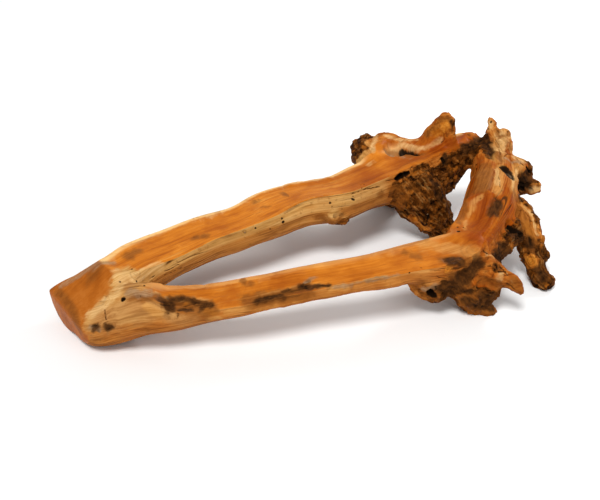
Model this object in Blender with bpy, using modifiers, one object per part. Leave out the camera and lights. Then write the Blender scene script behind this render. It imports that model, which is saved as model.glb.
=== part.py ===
"""A forked log: a trunk end, two long arms and the gnarled roots that close the fork.

It is one grown piece of hardwood, so it is one object. Metres, +Z up. X runs from the
hewn trunk end to the roots, -Y is the front, and the origin is on the surface that the
log lies on, in the middle of its footprint.
"""

import bmesh
import bpy
import numpy as np
from mathutils import Matrix, Vector, noise

# Driving dimensions, in metres
STEP = 0.006  # spacing of the points read from a limb's route
FUSE_VOXEL = 0.005  # grain of the mesh that the limbs are fused in
TRIANGLES = 11000  # faces of the finished solid

# Limbs that are planed on top. A row is x, y, z, radius, roughness from 0 for smooth wood
# to 1 for gnarled root wood, then the facet: its height above the core in radii, and how
# far it leans to +X and to +Y for each unit up.
PLANED_LIMBS = {
    "rear_arm": (
        (-0.400, -0.098, 0.060, 0.056, 0.0, 1.30, -0.30, -0.10),
        (-0.345, -0.080, 0.070, 0.058, 0.0, 0.72, -0.10, -0.05),
        (-0.300, -0.052, 0.080, 0.057, 0.0, 0.50, 0.0, -0.05),
        (-0.236, -0.019, 0.087, 0.055, 0.0, 0.34, 0.0, -0.02),
        (-0.174, 0.001, 0.095, 0.054, 0.0, 0.32, 0.0, 0.00),
        (-0.092, 0.015, 0.105, 0.051, 0.0, 0.32, 0.0, 0.05),
        (-0.010, 0.049, 0.110, 0.058, 0.0, 0.34, 0.0, 0.10),
        (0.052, 0.059, 0.115, 0.056, 0.0, 0.38, 0.0, 0.15),
        (0.122, 0.055, 0.119, 0.056, 0.0, 0.42, 0.0, 0.15),
        (0.203, 0.083, 0.125, 0.057, 0.1, 0.45, 0.0, 0.10),
        (0.271, 0.099, 0.130, 0.058, 0.3, 0.50, 0.0, 0.05),
        (0.340, 0.112, 0.140, 0.052, 0.2, 0.62, 0.0, 0.10),
        (0.401, 0.115, 0.148, 0.044, 0.3, 0.75, 0.0, 0.20),
        (0.454, 0.116, 0.150, 0.036, 0.5, 1.50, 0.0, 0.20),
    ),
    "front_arm": (
        (-0.345, -0.165, 0.064, 0.052, 0.0, 1.30, 0.0, -0.10),
        (-0.305, -0.178, 0.074, 0.049, 0.0, 0.90, 0.0, -0.15),
        (-0.262, -0.190, 0.078, 0.044, 0.0, 0.48, 0.0, -0.20),
        (-0.201, -0.203, 0.085, 0.039, 0.0, 0.32, 0.0, -0.20),
        (-0.142, -0.214, 0.095, 0.037, 0.0, 0.28, 0.0, -0.20),
        (-0.075, -0.214, 0.100, 0.036, 0.0, 0.28, 0.0, -0.20),
        (-0.004, -0.217, 0.105, 0.035, 0.0, 0.28, 0.0, -0.20),
        (0.068, -0.219, 0.110, 0.035, 0.0, 0.28, 0.0, -0.20),
        (0.157, -0.219, 0.115, 0.038, 0.0, 0.30, 0.0, -0.20),
        (0.215, -0.216, 0.115, 0.043, 0.0, 0.32, 0.0, -0.15),
        (0.271, -0.208, 0.112, 0.047, 0.2, 0.42, -0.10, -0.10),
        (0.320, -0.195, 0.104, 0.040, 0.3, 0.90, -0.30, -0.10),
    ),
    "bridge": (
        (0.285, -0.200, 0.100, 0.040, 0.2, 0.90, -0.30, -0.10),
        (0.306, -0.183, 0.108, 0.047, 0.2, 0.70, -0.40, -0.20),
        (0.353, -0.133, 0.118, 0.050, 0.1, 0.66, -0.60, -0.40),
        (0.403, -0.066, 0.125, 0.054, 0.1, 1.30, -0.60, -0.40),
        (0.440, -0.004, 0.135, 0.050, 0.2, 1.50, -0.60, -0.60),
        (0.457, 0.062, 0.147, 0.042, 0.4, 1.50, -0.60, -0.60),
        (0.458, 0.114, 0.152, 0.034, 0.6, 1.50, -0.60, -0.60),
    ),
}

# Limbs left as grown. A row is x, y, z, radius, roughness.
GROWN_LIMBS = {
    "trunk_rear": (
        (-0.490, -0.098, 0.050, 0.052, 0.0),
        (-0.420, -0.100, 0.055, 0.056, 0.0),
        (-0.360, -0.096, 0.060, 0.056, 0.0),
    ),
    "trunk_front": (
        (-0.436, -0.114, 0.046, 0.044, 0.0),
        (-0.415, -0.132, 0.050, 0.053, 0.0),
        (-0.388, -0.147, 0.054, 0.058, 0.1),
        (-0.345, -0.158, 0.055, 0.051, 0.1),
        (-0.295, -0.170, 0.063, 0.042, 0.1),
    ),
    "crotch": (
        (-0.390, -0.120, 0.056, 0.055, 0.1),
        (-0.345, -0.118, 0.057, 0.050, 0.3),
        (-0.305, -0.120, 0.066, 0.038, 0.3),
    ),
    "rear_leg": (
        (0.284, 0.078, 0.112, 0.058, 0.8),
        (0.308, 0.052, 0.080, 0.052, 1.0),
        (0.330, 0.030, 0.047, 0.040, 1.0),
        (0.344, 0.026, 0.014, 0.025, 1.0),
    ),
    "leg_web": (
        (0.320, 0.075, 0.100, 0.042, 0.9),
        (0.366, 0.085, 0.118, 0.034, 0.9),
        (0.400, 0.100, 0.136, 0.030, 0.9),
    ),
    "back_leg": (
        (0.277, 0.113, 0.115, 0.052, 0.6),
        (0.286, 0.172, 0.060, 0.040, 0.8),
        (0.298, 0.205, 0.012, 0.030, 1.0),
    ),
    "back_stub": (
        (0.240, 0.110, 0.128, 0.046, 0.2),
        (0.226, 0.160, 0.134, 0.036, 0.7),
        (0.221, 0.194, 0.142, 0.028, 1.0),
        (0.238, 0.222, 0.156, 0.016, 1.0),
    ),
    "ridge": (
        (0.240, 0.160, 0.150, 0.028, 0.2),
        (0.268, 0.190, 0.164, 0.017, 0.4),
        (0.292, 0.156, 0.168, 0.014, 0.1),
        (0.320, 0.138, 0.174, 0.014, 0.1),
        (0.350, 0.130, 0.182, 0.019, 0.2),
    ),
    "horn_back": (
        (0.335, 0.135, 0.170, 0.020, 0.1),
        (0.354, 0.127, 0.205, 0.016, 0.3),
        (0.371, 0.118, 0.232, 0.013, 0.4),
        (0.380, 0.113, 0.243, 0.010, 0.5),
    ),
    "horn_front": (
        (0.378, 0.105, 0.165, 0.026, 0.2),
        (0.379, 0.104, 0.200, 0.016, 0.3),
        (0.379, 0.108, 0.238, 0.010, 0.5),
    ),
    "arm_bump": (
        (0.095, 0.018, 0.105, 0.026, 0.3),
        (0.115, 0.012, 0.088, 0.017, 0.8),
        (0.127, 0.004, 0.082, 0.010, 1.0),
    ),
    "front_lump": (
        (0.200, -0.216, 0.090, 0.034, 0.4),
        (0.218, -0.220, 0.066, 0.033, 0.6),
        (0.248, -0.216, 0.048, 0.034, 0.7),
    ),
    "front_foot": (
        (0.268, -0.215, 0.085, 0.044, 0.5),
        (0.290, -0.232, 0.045, 0.034, 0.8),
        (0.306, -0.240, 0.018, 0.027, 0.8),
        (0.318, -0.248, 0.004, 0.020, 0.8),
        (0.340, -0.263, 0.002, 0.010, 0.8),
    ),
    "beak": (
        (0.286, -0.222, 0.092, 0.034, 0.4),
        (0.322, -0.234, 0.088, 0.030, 0.5),
        (0.352, -0.253, 0.075, 0.022, 0.5),
        (0.374, -0.270, 0.060, 0.014, 0.5),
        (0.382, -0.281, 0.048, 0.007, 0.5),
    ),
    "underside": (
        (0.320, -0.200, 0.092, 0.034, 0.9),
        (0.352, -0.190, 0.088, 0.030, 1.0),
        (0.386, -0.168, 0.092, 0.024, 1.0),
        (0.428, -0.128, 0.092, 0.026, 1.0),
    ),
    "right_leg": (
        (0.442, -0.050, 0.112, 0.040, 0.5),
        (0.462, -0.085, 0.096, 0.031, 0.8),
        (0.467, -0.125, 0.062, 0.027, 0.9),
        (0.464, -0.167, 0.032, 0.023, 1.0),
        (0.466, -0.198, 0.014, 0.019, 1.0),
        (0.474, -0.214, 0.005, 0.013, 1.0),
    ),
    "foot_heel": (
        (0.300, -0.225, 0.060, 0.030, 0.8),
        (0.332, -0.246, 0.040, 0.020, 0.9),
        (0.345, -0.250, 0.032, 0.012, 1.0),
    ),
    "bridge_lobe": (
        (0.425, -0.020, 0.130, 0.040, 0.2),
        (0.440, 0.030, 0.150, 0.036, 0.2),
        (0.452, 0.050, 0.156, 0.028, 0.3),
    ),
    "leg_twig": (
        (0.474, -0.145, 0.050, 0.018, 0.8),
        (0.494, -0.166, 0.045, 0.008, 0.8),
    ),
    "leg_toe": (
        (0.468, -0.190, 0.020, 0.016, 1.0),
        (0.490, -0.206, 0.014, 0.008, 1.0),
    ),
    "right_shoulder": (
        (0.455, 0.022, 0.142, 0.046, 0.3),
        (0.505, 0.034, 0.140, 0.030, 0.7),
        (0.538, 0.034, 0.132, 0.019, 1.0),
    ),
    "right_stub": (
        (0.500, 0.020, 0.122, 0.026, 0.9),
        (0.518, -0.002, 0.116, 0.017, 1.0),
        (0.543, -0.012, 0.112, 0.010, 1.0),
    ),
    "crown": (
        (0.462, 0.062, 0.150, 0.036, 0.3),
        (0.485, 0.078, 0.168, 0.030, 0.4),
        (0.494, 0.092, 0.186, 0.023, 0.5),
        (0.503, 0.100, 0.197, 0.014, 0.7),
    ),
    "tall_finger": (
        (0.470, 0.070, 0.165, 0.024, 0.5),
        (0.473, 0.100, 0.192, 0.014, 0.6),
        (0.484, 0.124, 0.214, 0.009, 0.8),
    ),
}

FACET_BLEND = 0.014  # how far a facet fades where one limb passes into the next
FACET_SCOOP = 0.0015  # hollow across a facet

# Middle of the footprint, in the coordinates of the tables here
ORIGIN = (0.036, -0.028, 0.0)

# Hewn faces of the trunk's end: a point on each, and the way it looks
HEWN_FACES = (
    ((-0.385, -0.100, 0.096), (-0.50, -0.22, 0.84)),
    ((-0.452, -0.090, 0.020), (-0.94, -0.34, -0.08)),
)

# Hollows: a point on the surface, the radius of the mouth, and the depth
HOLLOWS = (
    ((0.262, 0.133, 0.159), 0.014, 0.009),
    ((0.281, 0.129, 0.160), 0.016, 0.012),
    ((0.300, 0.122, 0.163), 0.014, 0.009),
    ((0.254, 0.044, 0.152), 0.013, 0.009),
    ((0.486, -0.020, 0.135), 0.018, 0.012),
    ((0.209, -0.251, 0.062), 0.013, 0.008),
    ((0.235, -0.247, 0.056), 0.012, 0.006),
    ((0.270, -0.250, 0.095), 0.014, 0.007),
    ((0.345, -0.148, 0.150), 0.052, 0.009),
    ((0.406, -0.155, 0.117), 0.020, 0.012),
    ((0.425, 0.074, 0.169), 0.016, 0.008),
)

WOOD_COLOUR = (0.55, 0.24, 0.07, 1.0)


def smooth_route(rows):
    """Points about STEP apart on one smooth curve through the rows of a limb."""
    rows = np.array(rows)
    padded = np.vstack([2 * rows[0] - rows[1], rows, 2 * rows[-1] - rows[-2]])
    found = []
    for a, b, c, d in zip(padded, padded[1:], padded[2:], padded[3:]):
        count = max(2, round(float(np.linalg.norm((c - b)[:3])) / STEP))
        t = (np.arange(count) / count)[:, None]
        found.append(
            0.5 * (2 * b + (c - a) * t + (2 * a - 5 * b + 4 * c - d) * t**2
                   + (3 * b - a - 3 * c + d) * t**3)
        )
    return np.vstack([*found, rows[-1:]])


def all_routes():
    """Every limb's route by name, planed limbs first."""
    limbs = {**PLANED_LIMBS, **GROWN_LIMBS}
    return {name: smooth_route(rows) for name, rows in limbs.items()}


def limb_mesh(route):
    """A closed tube along the route, as thick as each of its points says."""
    curve = bpy.data.curves.new("limb", "CURVE")
    curve.dimensions = "3D"
    curve.bevel_depth = 1.0  # a point's radius is then the limb's radius in metres
    curve.bevel_resolution = 4
    curve.use_fill_caps = True
    spline = curve.splines.new("POLY")
    spline.points.add(len(route) - 1)
    for point, row in zip(spline.points, route):
        point.co = (*row[:3], 1.0)
        point.radius = row[3]
    guide = bpy.data.objects.new("limb", curve)
    bpy.context.scene.collection.objects.link(guide)
    mesh = evaluated_mesh(guide)
    bpy.data.objects.remove(guide)
    return mesh


def evaluated_mesh(obj):
    """The object's mesh with its modifiers applied, as a new mesh."""
    bpy.context.view_layer.update()
    graph = bpy.context.evaluated_depsgraph_get()
    return bpy.data.meshes.new_from_object(obj.evaluated_get(graph))


def fused_limbs(routes):
    """All limbs grown together: one closed mesh with soft hollows where limbs meet."""
    together = bmesh.new()
    for route in routes.values():
        together.from_mesh(limb_mesh(route))
    bmesh.ops.remove_doubles(together, verts=together.verts, dist=1e-6)
    mesh = bpy.data.meshes.new("limbs")
    together.to_mesh(mesh)
    together.free()
    wood = bpy.data.objects.new("limbs", mesh)
    bpy.context.scene.collection.objects.link(wood)
    fuse = wood.modifiers.new("fuse", "REMESH")
    fuse.mode = "VOXEL"
    fuse.voxel_size = FUSE_VOXEL
    soften = wood.modifiers.new("soften", "SMOOTH")
    soften.factor = 0.5
    soften.iterations = 6
    fused = evaluated_mesh(wood)
    bpy.data.objects.remove(wood)
    return fused


def nearest_on(route, points):
    """For each point, the route's row nearest to it, read between points, and the way it runs."""
    gaps = ((points[:, None, :] - route[None, :, :3]) ** 2).sum(axis=2)
    index = gaps.argmin(axis=1)
    slope = np.gradient(route, axis=0)
    slope /= np.linalg.norm(slope[:, :3], axis=1)[:, None]
    along = slope[index, :3]
    past = ((points - route[index, :3]) * along).sum(axis=1).clip(-STEP / 2, STEP / 2)
    return route[index] + past[:, None] * slope[index], along


def depths(routes, points):
    """How far each point lies outside each limb's own surface."""
    found = {}
    for name, route in routes.items():
        near, _ = nearest_on(route, points)
        found[name] = np.linalg.norm(points - near[:, :3], axis=1) - near[:, 3]
    return found


def roughness(routes, points, depth):
    """How gnarled the wood is at each point: that of the limb whose surface is nearest."""
    best = np.full(len(points), np.inf)
    rough = np.zeros(len(points))
    for name, route in routes.items():
        near, _ = nearest_on(route, points)
        rough = np.where(depth[name] < best, near[:, 4], rough)
        best = np.minimum(best, depth[name])
    return rough


def swell(points, normals, rough):
    """Grown lumps all over, and knobs and furrows where the wood is gnarled."""
    moved = points.copy()
    for i, (point, normal) in enumerate(zip(points, normals)):
        place = Vector(point)
        lumps = noise.noise(place * 14.0) * 0.004
        knobs = noise.noise(place * 50.0) * 0.005 - abs(noise.noise(place * 28.0)) * 0.009 + 0.003
        moved[i] += normal * (lumps + rough[i] * knobs)
    return moved


def plane_facet(points, route, own):
    """Points of the limb that stand above its planed facet, brought down on it."""
    near, along = nearest_on(route, points)
    out = np.column_stack([near[:, 6], near[:, 7], np.ones(len(points))])
    out -= (along * out).sum(axis=1)[:, None] * along
    out /= np.linalg.norm(out, axis=1)[:, None]
    offset = points - near[:, :3]
    height = (offset * out).sum(axis=1)
    aside = np.sqrt(np.maximum((offset**2).sum(axis=1) - height**2, 0.0))
    radius = near[:, 3]
    scoop = FACET_SCOOP * np.clip(1 - (aside / radius) ** 2, 0.0, 1.0)
    excess = np.maximum(height - (near[:, 5] * radius - scoop), 0.0)
    return points - out * (excess * own)[:, None]


def ownership(depth, name):
    """1 where the named limb is the one at the surface, fading to 0 on its neighbours."""
    others = np.min([gap for other, gap in depth.items() if other != name], axis=0)
    return np.clip(0.5 + (others - depth[name]) / (2 * FACET_BLEND), 0.0, 1.0)


def hew(points, place, looks):
    """Points beyond a flat hewn face, brought back on it."""
    out = np.array(looks) / np.linalg.norm(looks)
    excess = np.maximum((points - np.array(place)) @ out, 0.0)
    return points - excess[:, None] * out


def hollow(points, normals, place, mouth, depth):
    """Points round a place on the surface, pushed in as a bowl."""
    reach = np.linalg.norm(points - np.array(place), axis=1) / mouth
    push = depth * np.clip(1 - reach**2, 0.0, 1.0) ** 1.5
    return points - normals * push[:, None]


def vertex_values(mesh, kind):
    values = np.empty(len(mesh.vertices) * 3)
    mesh.vertices.foreach_get(kind, values)
    return values.reshape(-1, 3)


def carved(mesh, routes):
    """The fused limbs with their lumps, planed facets, hewn end and hollows."""
    points = vertex_values(mesh, "co")
    normals = vertex_values(mesh, "normal")
    depth = depths(routes, points)
    points = swell(points, normals, roughness(routes, points, depth))
    for name in PLANED_LIMBS:
        points = plane_facet(points, routes[name], ownership(depth, name))
    for place, looks in HEWN_FACES:
        points = hew(points, place, looks)
    for place, mouth, depth_in in HOLLOWS:
        points = hollow(points, normals, place, mouth, depth_in)
    mesh.vertices.foreach_set("co", points.ravel())
    mesh.update()
    return mesh


def ground_cutter(cutters):
    """A block below the surface the log lies on: it leaves small flats to rest on."""
    bpy.ops.mesh.primitive_cube_add(size=1.0)
    block = bpy.context.object
    block.name = "ground_cutter"
    block.scale = (1.6, 1.2, 0.1)
    block.location = (0.0, 0.0, -0.05)
    block.hide_render = True
    block.display_type = "WIRE"
    for collection in block.users_collection:
        collection.objects.unlink(block)
    cutters.objects.link(block)
    return block


def wood_material():
    material = bpy.data.materials.new("hardwood")
    material.use_nodes = True
    shader = material.node_tree.nodes["Principled BSDF"]
    shader.inputs["Base Color"].default_value = WOOD_COLOUR
    shader.inputs["Roughness"].default_value = 0.45
    material.diffuse_color = WOOD_COLOUR
    return material


def new_collection(name):
    collection = bpy.data.collections.new(name)
    bpy.context.scene.collection.children.link(collection)
    return collection


def build():
    for obj in list(bpy.data.objects):
        bpy.data.objects.remove(obj)
    routes = all_routes()
    mesh = carved(fused_limbs(routes), routes)
    mesh.transform(Matrix.Translation(Vector(ORIGIN)).inverted())
    mesh.materials.append(wood_material())
    log = bpy.data.objects.new("forked_log", mesh)
    new_collection("forked log").objects.link(log)
    thin_out = log.modifiers.new("thin_out", "DECIMATE")
    thin_out.ratio = min(1.0, TRIANGLES / (2 * len(mesh.polygons)))
    thin_out.use_collapse_triangulate = True
    rest = log.modifiers.new("rest", "BOOLEAN")
    rest.operation = "DIFFERENCE"
    rest.solver = "MANIFOLD"
    rest.object = ground_cutter(new_collection("cutters"))


build()
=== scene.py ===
"""Looks of the forked log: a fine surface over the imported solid, its wood, the floor and the light.

The form repeats the limbs of the solid, in the same tables, on a finer mesh. The relief, cracks,
knots and colour zones are added on it. Metres, +Z up.
"""

import math
from itertools import product
from types import SimpleNamespace

import bmesh
import bpy
import numpy as np
from mathutils import Matrix, Vector, noise
from mathutils.bvhtree import BVHTree
from mathutils.kdtree import KDTree


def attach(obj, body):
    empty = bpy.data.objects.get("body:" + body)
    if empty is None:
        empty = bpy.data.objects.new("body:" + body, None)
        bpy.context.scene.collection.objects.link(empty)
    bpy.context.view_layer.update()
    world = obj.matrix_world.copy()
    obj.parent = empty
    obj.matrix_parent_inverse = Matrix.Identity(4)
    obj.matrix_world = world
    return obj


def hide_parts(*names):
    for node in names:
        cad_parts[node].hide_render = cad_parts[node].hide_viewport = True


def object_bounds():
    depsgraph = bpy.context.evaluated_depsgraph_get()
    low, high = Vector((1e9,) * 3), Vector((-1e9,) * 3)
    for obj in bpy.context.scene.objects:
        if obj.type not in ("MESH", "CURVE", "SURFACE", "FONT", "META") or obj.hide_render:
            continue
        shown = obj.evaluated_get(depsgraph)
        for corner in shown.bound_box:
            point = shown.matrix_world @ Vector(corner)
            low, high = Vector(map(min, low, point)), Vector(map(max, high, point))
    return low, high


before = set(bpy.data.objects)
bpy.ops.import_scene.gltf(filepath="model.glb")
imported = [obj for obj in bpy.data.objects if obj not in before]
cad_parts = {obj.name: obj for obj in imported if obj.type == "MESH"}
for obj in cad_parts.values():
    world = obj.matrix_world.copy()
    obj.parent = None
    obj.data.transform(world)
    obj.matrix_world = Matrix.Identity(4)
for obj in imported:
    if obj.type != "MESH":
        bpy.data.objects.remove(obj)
cad_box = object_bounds()

# Camera: the photograph's view, 600 by 500 pixels
AZIMUTH = math.radians(-15.0)
ELEVATION = math.radians(32.0)
DISTANCE = 1.9
TARGET = np.array((-0.036, -0.072, 0.10))
LENS = 60.0  # mm
SENSOR = 36.0  # mm
IMAGE_WIDTH, IMAGE_HEIGHT = 600, 500
FOCAL = IMAGE_WIDTH * LENS / SENSOR  # pixels

# The form, as in the solid
STEP = 0.006  # spacing of the points read from a limb's route
FUSE_VOXEL = 0.005  # grain of the mesh that the limbs are fused in
FINE_LEVELS = 2  # each level halves the spacing of the mesh's points
TRIANGLES = 190000  # faces of the finished surface

MILLIMETRES = 1000.0  # in a metre
# Limbs that are planed on top. A row is x, y, z and radius in millimetres, roughness, then the
# facet: its height above the core in radii, and how far it leans to +X and to +Y for each unit up.
PLANED_LIMBS = {
    "rear_arm": ((-400, -98, 60, 56, 0, 1.3, -0.3, -0.1),
                 (-345, -80, 70, 58, 0, 0.72, -0.1, -0.05), (-300, -52, 80, 57, 0, 0.5, 0, -0.05),
                 (-236, -19, 87, 55, 0, 0.34, 0, -0.02), (-174, 1, 95, 54, 0, 0.32, 0, 0),
                 (-92, 15, 105, 51, 0, 0.32, 0, 0.05), (-10, 49, 110, 58, 0, 0.34, 0, 0.1),
                 (52, 59, 115, 56, 0, 0.38, 0, 0.15), (122, 55, 119, 56, 0, 0.42, 0, 0.15),
                 (203, 83, 125, 57, 0.1, 0.45, 0, 0.1), (271, 99, 130, 58, 0.3, 0.5, 0, 0.05),
                 (340, 112, 140, 52, 0.2, 0.62, 0, 0.1), (401, 115, 148, 44, 0.3, 0.75, 0, 0.2),
                 (454, 116, 150, 36, 0.5, 1.5, 0, 0.2)),
    "front_arm": ((-345, -165, 64, 52, 0, 1.3, 0, -0.1), (-305, -178, 74, 49, 0, 0.9, 0, -0.15),
                  (-262, -190, 78, 44, 0, 0.48, 0, -0.2), (-201, -203, 85, 39, 0, 0.32, 0, -0.2),
                  (-142, -214, 95, 37, 0, 0.28, 0, -0.2), (-75, -214, 100, 36, 0, 0.28, 0, -0.2),
                  (-4, -217, 105, 35, 0, 0.28, 0, -0.2), (68, -219, 110, 35, 0, 0.28, 0, -0.2),
                  (157, -219, 115, 38, 0, 0.3, 0, -0.2), (215, -216, 115, 43, 0, 0.32, 0, -0.15),
                  (271, -208, 112, 47, 0.2, 0.42, -0.1, -0.1),
                  (320, -195, 104, 40, 0.3, 0.9, -0.3, -0.1)),
    "bridge": ((285, -200, 100, 40, 0.2, 0.9, -0.3, -0.1),
               (306, -183, 108, 47, 0.2, 0.7, -0.4, -0.2),
               (353, -133, 118, 50, 0.1, 0.66, -0.6, -0.4),
               (403, -66, 125, 54, 0.1, 1.3, -0.6, -0.4), (440, -4, 135, 50, 0.2, 1.5, -0.6, -0.6),
               (457, 62, 147, 42, 0.4, 1.5, -0.6, -0.6),
               (458, 114, 152, 34, 0.6, 1.5, -0.6, -0.6)),
}

# Limbs left as grown. A row is x, y, z and radius in millimetres, and roughness.
GROWN_LIMBS = {
    "trunk_rear": ((-490, -98, 50, 52, 0), (-420, -100, 55, 56, 0), (-360, -96, 60, 56, 0)),
    "trunk_front": ((-436, -114, 46, 44, 0), (-415, -132, 50, 53, 0), (-388, -147, 54, 58, 0.1),
                    (-345, -158, 55, 51, 0.1), (-295, -170, 63, 42, 0.1)),
    "crotch": ((-390, -120, 56, 55, 0.1), (-345, -118, 57, 50, 0.3), (-305, -120, 66, 38, 0.3)),
    "rear_leg": ((284, 78, 112, 58, 0.8), (308, 52, 80, 52, 1), (330, 30, 47, 40, 1),
                 (344, 26, 14, 25, 1)),
    "leg_web": ((320, 75, 100, 42, 0.9), (366, 85, 118, 34, 0.9), (400, 100, 136, 30, 0.9)),
    "back_leg": ((277, 113, 115, 52, 0.6), (286, 172, 60, 40, 0.8), (298, 205, 12, 30, 1)),
    "back_stub": ((240, 110, 128, 46, 0.2), (226, 160, 134, 36, 0.7), (221, 194, 142, 28, 1),
                  (238, 222, 156, 16, 1)),
    "ridge": ((240, 160, 150, 28, 0.2), (268, 190, 164, 17, 0.4), (292, 156, 168, 14, 0.1),
              (320, 138, 174, 14, 0.1), (350, 130, 182, 19, 0.2)),
    "horn_back": ((335, 135, 170, 20, 0.1), (354, 127, 205, 16, 0.3), (371, 118, 232, 13, 0.4),
                  (380, 113, 243, 10, 0.5)),
    "horn_front": ((378, 105, 165, 26, 0.2), (379, 104, 200, 16, 0.3), (379, 108, 238, 10, 0.5)),
    "arm_bump": ((95, 18, 105, 26, 0.3), (115, 12, 88, 17, 0.8), (127, 4, 82, 10, 1)),
    "front_lump": ((200, -216, 90, 34, 0.4), (218, -220, 66, 33, 0.6), (248, -216, 48, 34, 0.7)),
    "front_foot": ((268, -215, 85, 44, 0.5), (290, -232, 45, 34, 0.8), (306, -240, 18, 27, 0.8),
                   (318, -248, 4, 20, 0.8), (340, -263, 2, 10, 0.8)),
    "beak": ((286, -222, 92, 34, 0.4), (322, -234, 88, 30, 0.5), (352, -253, 75, 22, 0.5),
             (374, -270, 60, 14, 0.5), (382, -281, 48, 7, 0.5)),
    "underside": ((320, -200, 92, 34, 0.9), (352, -190, 88, 30, 1), (386, -168, 92, 24, 1),
                  (428, -128, 92, 26, 1)),
    "right_leg": ((442, -50, 112, 40, 0.5), (462, -85, 96, 31, 0.8), (467, -125, 62, 27, 0.9),
                  (464, -167, 32, 23, 1), (466, -198, 14, 19, 1), (474, -214, 5, 13, 1)),
    "foot_heel": ((300, -225, 60, 30, 0.8), (332, -246, 40, 20, 0.9), (345, -250, 32, 12, 1)),
    "bridge_lobe": ((425, -20, 130, 40, 0.2), (440, 30, 150, 36, 0.2), (452, 50, 156, 28, 0.3)),
    "leg_twig": ((474, -145, 50, 18, 0.8), (494, -166, 45, 8, 0.8)),
    "leg_toe": ((468, -190, 20, 16, 1), (490, -206, 14, 8, 1)),
    "right_shoulder": ((455, 22, 142, 46, 0.3), (505, 34, 140, 30, 0.7), (538, 34, 132, 19, 1)),
    "right_stub": ((500, 20, 122, 26, 0.9), (518, -2, 116, 17, 1), (543, -12, 112, 10, 1)),
    "crown": ((462, 62, 150, 36, 0.3), (485, 78, 168, 30, 0.4), (494, 92, 186, 23, 0.5),
              (503, 100, 197, 14, 0.7)),
    "tall_finger": ((470, 70, 165, 24, 0.5), (473, 100, 192, 14, 0.6), (484, 124, 214, 9, 0.8)),
}

FACET_BLEND = 0.014  # how far a facet fades where one limb passes into the next
FACET_SCOOP = 0.0015  # hollow across a facet

# Middle of the footprint, in the coordinates of the tables here
ORIGIN = np.array((0.036, -0.028, 0.0))

# Hewn faces of the trunk's end: a point on each, and the way it looks
HEWN_FACES = (
    ((-0.385, -0.100, 0.096), (-0.50, -0.22, 0.84)),
    ((-0.452, -0.090, 0.020), (-0.94, -0.34, -0.08)),
)

# Hollows: a point on the surface, the radius of the mouth, and the depth
HOLLOWS = (
    ((0.262, 0.133, 0.159), 0.014, 0.009),
    ((0.281, 0.129, 0.160), 0.016, 0.012),
    ((0.300, 0.122, 0.163), 0.014, 0.009),
    ((0.254, 0.044, 0.152), 0.013, 0.009),
    ((0.486, -0.020, 0.135), 0.018, 0.012),
    ((0.209, -0.251, 0.062), 0.013, 0.008),
    ((0.235, -0.247, 0.056), 0.012, 0.006),
    ((0.270, -0.250, 0.095), 0.014, 0.007),
    ((0.345, -0.148, 0.150), 0.052, 0.009),
    ((0.406, -0.155, 0.117), 0.020, 0.012),
    ((0.425, 0.074, 0.169), 0.016, 0.008),
)

# Grain: the long fibres follow these runs of limbs. Each run is read along its guide limb, but
# in the roots each limb has its own grain.
GRAIN_RUNS = {
    "rear": ("trunk_rear", "crotch", "rear_arm", "ridge", "horn_back", "horn_front", "arm_bump"),
    "front": ("trunk_front", "front_arm", "front_lump", "beak"),
    "bridge": ("bridge", "bridge_lobe", "crown", "tall_finger", "right_shoulder"),
    "root": ("rear_leg", "leg_web", "back_leg", "back_stub", "front_foot", "underside",
             "right_leg", "foot_heel", "leg_twig", "leg_toe", "right_stub"),
}
GRAIN_GUIDES = {"rear": "rear_arm", "front": "front_arm", "bridge": "bridge"}
GRAIN_BLEND = 0.010  # how far one run's grain fades into the next

TENTHS = 10000  # tenths of a millimetre in a metre
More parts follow.
